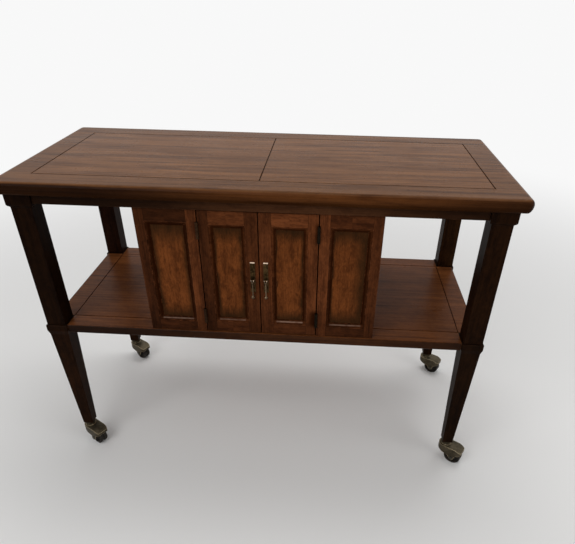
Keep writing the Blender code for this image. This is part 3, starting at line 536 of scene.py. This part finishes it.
# The plate's top edge and the top of the pendant's bell carry painted highlights
PLATE_BRASS = metal("plate_brass", (0.078, 0.046, 0.018), (0.011, 0.0064, 0.0024), rough=0.40, seed=1.0,
                    patina=0.9, crust=(0.005, 0.003, 0.0015), highlight_band=(PLATE_TOP - 0.0028, PLATE_TOP + 0.001))
PULL_BRASS = metal("pull_brass", (0.20, 0.136, 0.082), (0.040, 0.026, 0.015), rough=0.30, seed=2.0,
                   patina=0.6, crust=(0.010, 0.006, 0.004),
                   highlight_band=(PULL_PIN[2] - 0.0005, PULL_PIN[2] + 0.0022))
DARK_HINGE = metal("dark_hinge", (0.013, 0.0095, 0.006), (0.005, 0.0036, 0.0025), rough=0.5, seed=4.0,
                   patina=0.5, crust=(0.003, 0.0025, 0.002))
BROWN_HINGE = metal("brown_hinge", (0.042, 0.021, 0.010), (0.016, 0.008, 0.004), rough=0.5, seed=5.0,
                    patina=0.5, crust=(0.010, 0.005, 0.003))
# The hoods' edges carry a strong painted highlight along their ridges
HOOD_BRASS = metal("hood_brass", (0.096, 0.078, 0.051), (0.045, 0.037, 0.024), rough=0.52, seed=7.0,
                   patina=0.30, rub_and_highlight=7.5, edge_width=0.0028)
# The collar's brass is darker than the hood's: painted shade under the leg
SHADED_COLLAR_BRASS = metal("shaded_collar_brass", (0.060, 0.049, 0.031), (0.026, 0.021, 0.013), rough=0.5, seed=8.0,
                     patina=0.5)
AXLE_STEEL = metal("axle_steel", (0.085, 0.078, 0.064), (0.038, 0.034, 0.028), rough=0.5, seed=9.5,
                   patina=0.4)
STEEL = metal("plain_steel", (0.20, 0.19, 0.17), (0.10, 0.094, 0.084), rough=0.42, seed=9.0, patina=0.4)
WHEEL_RUBBER = rubber("wheel_rubber", seed=12.0)

for side, hinge_brass in (("left", BROWN_HINGE), ("right", DARK_HINGE)):
    cover("pull_plate_" + side, PLATE_BRASS)
    cover("pull_pendant_" + side, PULL_BRASS)
    cover("catch_strike_" + side, STEEL)
    for level in ("lower", "upper"):
        cover(f"hinge_jamb_leaf_{level}_{side}", hinge_brass)
        cover(f"hinge_door_leaf_{level}_{side}", hinge_brass)
for corner in ("front_left", "front_right", "rear_left", "rear_right"):
    cover("caster_collar_" + corner, SHADED_COLLAR_BRASS)
    cover("caster_hood_" + corner, HOOD_BRASS)
    cover("caster_axle_" + corner, AXLE_STEEL)
    cover("caster_wheel_" + corner, WHEEL_RUBBER)


# Finer round pieces in place of the faceted ones

def arc(radius, start, end, count, center=(0, 0)):
    """Points on an arc. The angles are in degrees."""
    angles = [math.radians(start + (end - start) * i / count) for i in range(count + 1)]
    return [(center[0] + radius * math.cos(a), center[1] + radius * math.sin(a)) for a in angles]


def finish_mesh(name, work):
    bmesh.ops.recalc_face_normals(work, faces=work.faces)
    mesh = bpy.data.meshes.new(name)
    work.to_mesh(mesh)
    work.free()
    thing = bpy.data.objects.new(name, mesh)
    bpy.context.scene.collection.objects.link(thing)
    return thing


def lathe(name, profile, steps, closed=False):
    """A round piece about Z from its profile of (radius, height) points."""
    work = bmesh.new()
    rings = []
    for radius, height in profile:
        count = steps if radius > 0 else 1
        turns = [math.tau * i / steps for i in range(count)]
        rings.append([work.verts.new((radius * math.cos(t), radius * math.sin(t), height)) for t in turns])
    pairs = list(zip(rings, rings[1:]))
    if closed:
        pairs.append((rings[-1], rings[0]))
    for a, b in pairs:
        for i in range(steps):
            j = (i + 1) % steps
            corners = [a[i % len(a)], b[i % len(b)], b[j % len(b)], a[j % len(a)]]
            work.faces.new(list(dict.fromkeys(corners)))
    return finish_mesh(name, work)


def prism(name, outline, low, high):
    """An outline in X and Y between two heights."""
    work = bmesh.new()
    lower = [work.verts.new((x, y, low)) for x, y in outline]
    upper = [work.verts.new((x, y, high)) for x, y in outline]
    work.faces.new(lower)
    work.faces.new(upper)
    for i in range(len(outline)):
        j = (i + 1) % len(outline)
        work.faces.new((lower[i], lower[j], upper[j], upper[i]))
    return finish_mesh(name, work)


def cut(thing, tool, operation="DIFFERENCE"):
    modifier = thing.modifiers.new("cut", "BOOLEAN")
    modifier.operation = operation
    modifier.solver = "EXACT"
    modifier.object = tool


def settle(thing, tools):
    """Applies the piece's modifiers and removes the tools."""
    bpy.context.view_layer.update()
    mesh = bpy.data.meshes.new_from_object(thing.evaluated_get(bpy.context.evaluated_depsgraph_get()))
    thing.modifiers.clear()
    thing.data = mesh
    for tool in tools:
        bpy.data.objects.remove(tool)


def smooth(thing, angle):
    thing.data.shade_smooth()
    thing.data.set_sharp_from_angle(angle=math.radians(angle))


def stand_for(thing, node, body, material, placing):
    """Puts a finer piece where its node is, on the node's body."""
    thing.data.transform(placing)
    thing.data.materials.clear()
    thing.data.materials.append(material)
    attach(thing, body)
    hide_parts(node)


def upright(angle_about_x):
    return Matrix.Rotation(math.radians(angle_about_x), 4, "X")


def on_caster(x, y):
    """A caster's place and turn."""
    return Matrix.Translation((x, y, 0)) @ Matrix.Rotation(CASTER_TURN, 4, "Z")


def on_axle():
    """The axle's place and direction in a caster."""
    return Matrix.Translation((TRAIL, 0, WHEEL_RADIUS)) @ upright(90)


def make_pendant(side, sign):
    """The pull's hanging part: a forked bell, a thin stem and a ball."""
    profile = [(0, 0.0034), (0.0040, 0.0034)] + arc(0.0010, 90, 0, 4, (0.0040, 0.0024))[1:]
    profile += [(0.0050, -0.0020), (0.0047, -0.0040), (0.0040, -0.0062), (0.0029, -0.0086)]
    profile += [(0.0020, -0.0107), (0.0016, -0.0130), (0.0015, -0.0300), (0.0016, -0.0420)]
    profile += arc(BALL_RADIUS, 65, -86, 14, (0, BALL_RADIUS - PENDANT_LENGTH)) + [(0, -PENDANT_LENGTH)]
    pendant = lathe("pendant_fine_" + side, profile, 40)
    gap = 0.0023
    fork = prism("fork", [(-gap, -0.01), (gap, -0.01), (gap, 0.01), (-gap, 0.01)], -0.0029, 0.01)
    cut(pendant, fork)
    settle(pendant, [fork])
    smooth(pendant, 38)
    placing = Matrix.Translation((sign * PULL_PIN[0], PULL_PIN[1], PULL_PIN[2]))
    stand_for(pendant, "pull_pendant_" + side, "pendant_" + side, PULL_BRASS, placing)


def make_wheel(corner, x, y):
    """The wheel, with a groove round the middle of its tread. half is the profile of one side of it."""
    rim = WHEEL_RADIUS
    half = [(AXLE_RADIUS + FIT, 0.0175), (0.0070, 0.0175)] + arc(0.0010, 90, 0, 3, (0.0070, 0.0165))[1:]
    half += [(0.0080, 0.0075)] + arc(0.0010, 180, 270, 3, (0.0090, 0.0075))[1:]
    half += [(0.0180, 0.0065)] + arc(0.0012, 270, 360, 3, (0.0180, 0.0077))[1:]
    half += [(0.0195, 0.0112), (0.0202, 0.0122), (rim - 0.0030, 0.0129)]
    half += arc(0.0028, 80, 0, 6, (rim - 0.0028, 0.0102)) + [(rim, 0.0060)]
    half += arc(0.0012, 0, -80, 4, (rim - 0.0012, 0.0042)) + [(rim - 0.0030, 0.0025)]
    profile = half + [(radius, -height) for radius, height in reversed(half)]
    wheel = lathe("wheel_fine_" + corner, profile, 72, closed=True)
    smooth(wheel, 40)
    placing = on_caster(x, y) @ on_axle()
    stand_for(wheel, "caster_wheel_" + corner, "wheel_" + corner, WHEEL_RUBBER, placing)


def hood_plan(half, reach):
    """The hood from above: a round heel, straight cheeks and a blunt nose."""
    heel = arc(half, 90, 270, 36)
    length = reach - NOSE_START
    shares = ((0, 1), (0.2, 0.995), (0.4, 0.975), (0.6, 0.94))
    shares += ((0.78, 0.88), (0.9, 0.80), (0.965, 0.70), (1, 0.56))
    nose = [(NOSE_START + a * length, half * b) for a, b in shares]
    return heel + [(px, -py) for px, py in nose] + nose[::-1]


def roof(drop, end, heel):
    """The hood's roof from the side: level from the heel, falling from its break, and lowered by drop."""
    fall = (HOOD_TOP - NOSE_TOP) / (HOOD_REACH - ROOF_BREAK)
    end_top = HOOD_TOP - fall * (end - ROOF_BREAK)
    return [(end, end_top - drop), (ROOF_BREAK, HOOD_TOP - drop), (heel, HOOD_TOP - drop)]


def side_tool(name, outline):
    """A side outline, wide enough to cut the whole hood."""
    tool = prism(name, outline, -0.03, 0.03)
    tool.data.transform(upright(90))
    return tool


def make_hood_mesh():
    """The hood about its swivel: a shell with eased edges, the race on it and the stem above."""
    # These three lie outside the hood, so that the cuts pass right through it
    heel = -0.04
    end = HOOD_REACH + 0.004
    over = HOOD_TOP + 0.004
    hood = prism("hood_fine", hood_plan(HOOD_HALF, HOOD_REACH), 0, over)
    edge = [(heel, 0.0440), (-0.010, 0.0385), (0, 0.0342), (0.009, 0.0315), (0.0174, 0.0300)]
    edge += arc(LUG_RADIUS, 200, 330, 14, (TRAIL, WHEEL_RADIUS)) + [(NOSE_START, 0.0375), (end, 0.0450)]
    side = side_tool("hood_side", edge + roof(0, end, heel))
    cut(hood, side, "INTERSECT")
    ease = hood.modifiers.new("ease", "BEVEL")
    ease.width = 0.0009
    ease.segments = 3
    ease.limit_method = "ANGLE"
    ease.angle_limit = math.radians(40)
    settle(hood, [side])
    inner = prism("hollow", hood_plan(HOOD_HALF - HOOD_WALL, HOOD_REACH - HOOD_WALL), -0.004, over)
    below = side_tool("hollow_side", [(heel, -0.002), (end, -0.002)] + roof(HOOD_WALL, end, heel))
    cut(inner, below, "INTERSECT")
    race = [(0, STEM_TOP), (STEM_RADIUS, STEM_TOP), (STEM_RADIUS, NECK_TOP)]
    race += [(NECK_RADIUS - 0.0005, NECK_TOP), (NECK_RADIUS, NECK_TOP - 0.0004)]
    race += [(NECK_RADIUS, NECK_BOTTOM), (0, NECK_BOTTOM)]
    neck = lathe("neck", race, 48)
    hole = AXLE_RADIUS + FIT
    bore = lathe("bore", [(0, 0.03), (hole, 0.03), (hole, -0.03), (0, -0.03)], 32)
    bore.data.transform(on_axle())
    cut(hood, inner)
    cut(hood, neck, "UNION")
    cut(hood, bore)
    settle(hood, [inner, below, neck, bore])
    smooth(hood, 30)
    return hood


def make_hoods(corners):
    first = make_hood_mesh()
    for corner, x, y in corners:
        hood = bpy.data.objects.new("hood_fine_" + corner, first.data.copy())
        bpy.context.scene.collection.objects.link(hood)
        placing = on_caster(x, y)
        stand_for(hood, "caster_hood_" + corner, "swivel_" + corner, HOOD_BRASS, placing)
    bpy.data.objects.remove(first)


def make_collar(corner, x, y):
    """The collar under the leg and its sleeve, with a shallow groove round the collar."""
    bore = STEM_RADIUS + FIT
    top, bottom = LEG_FOOT - FIT, NECK_TOP + FIT
    ease = 0.0010
    flat = COLLAR_RADIUS - ease
    groove = COLLAR_RADIUS - 0.0007
    profile = [(bore, STEM_TOP), (SLEEVE_RADIUS, STEM_TOP), (SLEEVE_RADIUS, top), (flat, top)]
    profile += arc(ease, 90, 0, 3, (flat, top - ease))[1:]
    profile += [(COLLAR_RADIUS, 0.0685), (groove, 0.0678), (groove, 0.0655), (COLLAR_RADIUS, 0.0648)]
    profile += arc(ease, 0, -90, 3, (flat, bottom + ease)) + [(bore, bottom)]
    collar = lathe("collar_fine_" + corner, profile, 56, closed=True)
    smooth(collar, 35)
    placing = Matrix.Translation((x, y, 0))
    stand_for(collar, "caster_collar_" + corner, "cart", SHADED_COLLAR_BRASS, placing)


CORNERS = (
    ("front_left", -POST_X, -POST_Y),
    ("front_right", POST_X, -POST_Y),
    ("rear_left", -POST_X, POST_Y),
    ("rear_right", POST_X, POST_Y),
)
make_hoods(CORNERS)
for corner, x, y in CORNERS:
    make_wheel(corner, x, y)
    make_collar(corner, x, y)
make_pendant("left", -1)
make_pendant("right", 1)

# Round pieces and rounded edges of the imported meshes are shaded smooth
for name, thing in nodes.items():
    if name.startswith(("hinge", "caster_axle", "pull_plate", "top_slab")):
        smooth(thing, 32)


# Stage, light and camera

# The strength of the white that shows behind the cart, and of the world's light on it
BACKDROP = 0.94
DAYLIGHT = 0.42

# Each lamp's place, the point it looks at, its size and its power
LAMPS = (
    ("key", (-1.3, -2.4, 3.0), (0, 0, 0.5), (2.2, 1.6), 36),
    ("fill", (2.4, -1.6, 1.9), (0, 0, 0.5), (1.8, 1.8), 14),
    ("overhead", (0.3, 0.8, 3.4), (0, 0, 0.8), (2.4, 1.2), 40),
)

# The photograph's size, focal length and principal point in pixels, and its camera's place in metres and
# angles in radians
PHOTO_WIDTH, PHOTO_HEIGHT = 575, 544
FOCAL_LENGTH = 515.05
PRINCIPAL_POINT = (301.78, 329.69)
CAMERA_PLACE = (0.1640, -1.3566, 1.2304)
PITCH, YAW, ROLL = -0.6004, -0.0509, 0.0176


def seen_rays(tree):
    """1 for the rays that show the backdrop: the camera's, mirrored and through glass."""
    rays = make(tree, "LightPath").outputs
    not_direct = calc(tree, "MAXIMUM", rays["Is Glossy Ray"], rays["Is Transmission Ray"])
    return calc(tree, "MAXIMUM", rays["Is Camera Ray"], not_direct)


def add_floor():
    """A pale floor that runs out into the white backdrop."""
    bpy.ops.mesh.primitive_plane_add(size=40, location=(0, 0, 0))
    floor = bpy.context.object
    floor.name = "floor"
    material, tree, shader = new_material("floor_paint")
    spot = make(tree, "TexCoord").outputs["Object"]
    color = blend_colors(tree, noise(tree, spot, 4, 0.5), (0.80, 0.795, 0.785), (0.83, 0.825, 0.815))
    feed(tree, shader, {"Base Color": color, "Roughness": 0.75})
    distance = make(tree, "VectorMath", {0: spot}, operation="LENGTH").outputs["Value"]
    far = calc(tree, "MULTIPLY", ramp(tree, distance, 0.9, 3.4), seen_rays(tree))
    white = make(tree, "Emission", {"Color": (1, 1, 1, 1), "Strength": BACKDROP}).outputs[0]
    surface = make(tree, "MixShader", {0: far, 1: shader.outputs[0], 2: white}).outputs[0]
    feed(tree, tree.nodes["Material Output"], {"Surface": surface})
    floor.data.materials.append(material)


def add_world():
    world = bpy.data.worlds.new("studio")
    bpy.context.scene.world = world
    world.use_nodes = True
    tree = world.node_tree
    strength = mix(tree, seen_rays(tree), DAYLIGHT, BACKDROP)
    feed(tree, tree.nodes["Background"], {"Color": (1, 1, 1, 1), "Strength": strength})


def add_lamp(name, location, target, size, power):
    light = bpy.data.lights.new(name, "AREA")
    light.shape = "RECTANGLE"
    light.size, light.size_y = size
    light.energy = power
    lamp = bpy.data.objects.new(name, light)
    lamp.location = location
    lamp.rotation_euler = (Vector(target) - Vector(location)).to_track_quat("-Z", "Y").to_euler()
    bpy.context.scene.collection.objects.link(lamp)


def add_camera():
    """The photograph's own view, found by fitting the cart's edges."""
    ahead = Vector((math.sin(YAW) * math.cos(PITCH), math.cos(YAW) * math.cos(PITCH), math.sin(PITCH)))
    right = Vector((math.cos(YAW), -math.sin(YAW), 0))
    up = right.cross(ahead)
    tilted_right = right * math.cos(ROLL) + up * math.sin(ROLL)
    tilted_up = up * math.cos(ROLL) - right * math.sin(ROLL)
    data = bpy.data.cameras.new("camera")
    data.sensor_width = 36
    data.lens = FOCAL_LENGTH * data.sensor_width / PHOTO_WIDTH
    data.shift_x = (PHOTO_WIDTH / 2 - PRINCIPAL_POINT[0]) / PHOTO_WIDTH
    data.shift_y = (PRINCIPAL_POINT[1] - PHOTO_HEIGHT / 2) / PHOTO_WIDTH
    data.clip_start = 0.02
    camera = bpy.data.objects.new("camera", data)
    placing = Matrix((tilted_right, tilted_up, -ahead)).transposed().to_4x4()
    placing.translation = CAMERA_PLACE
    camera.matrix_world = placing
    bpy.context.scene.collection.objects.link(camera)
    bpy.context.scene.camera = camera


add_floor()
add_world()
for lamp in LAMPS:
    add_lamp(*lamp)
add_camera()
bpy.context.scene.view_settings.view_transform = "Standard"
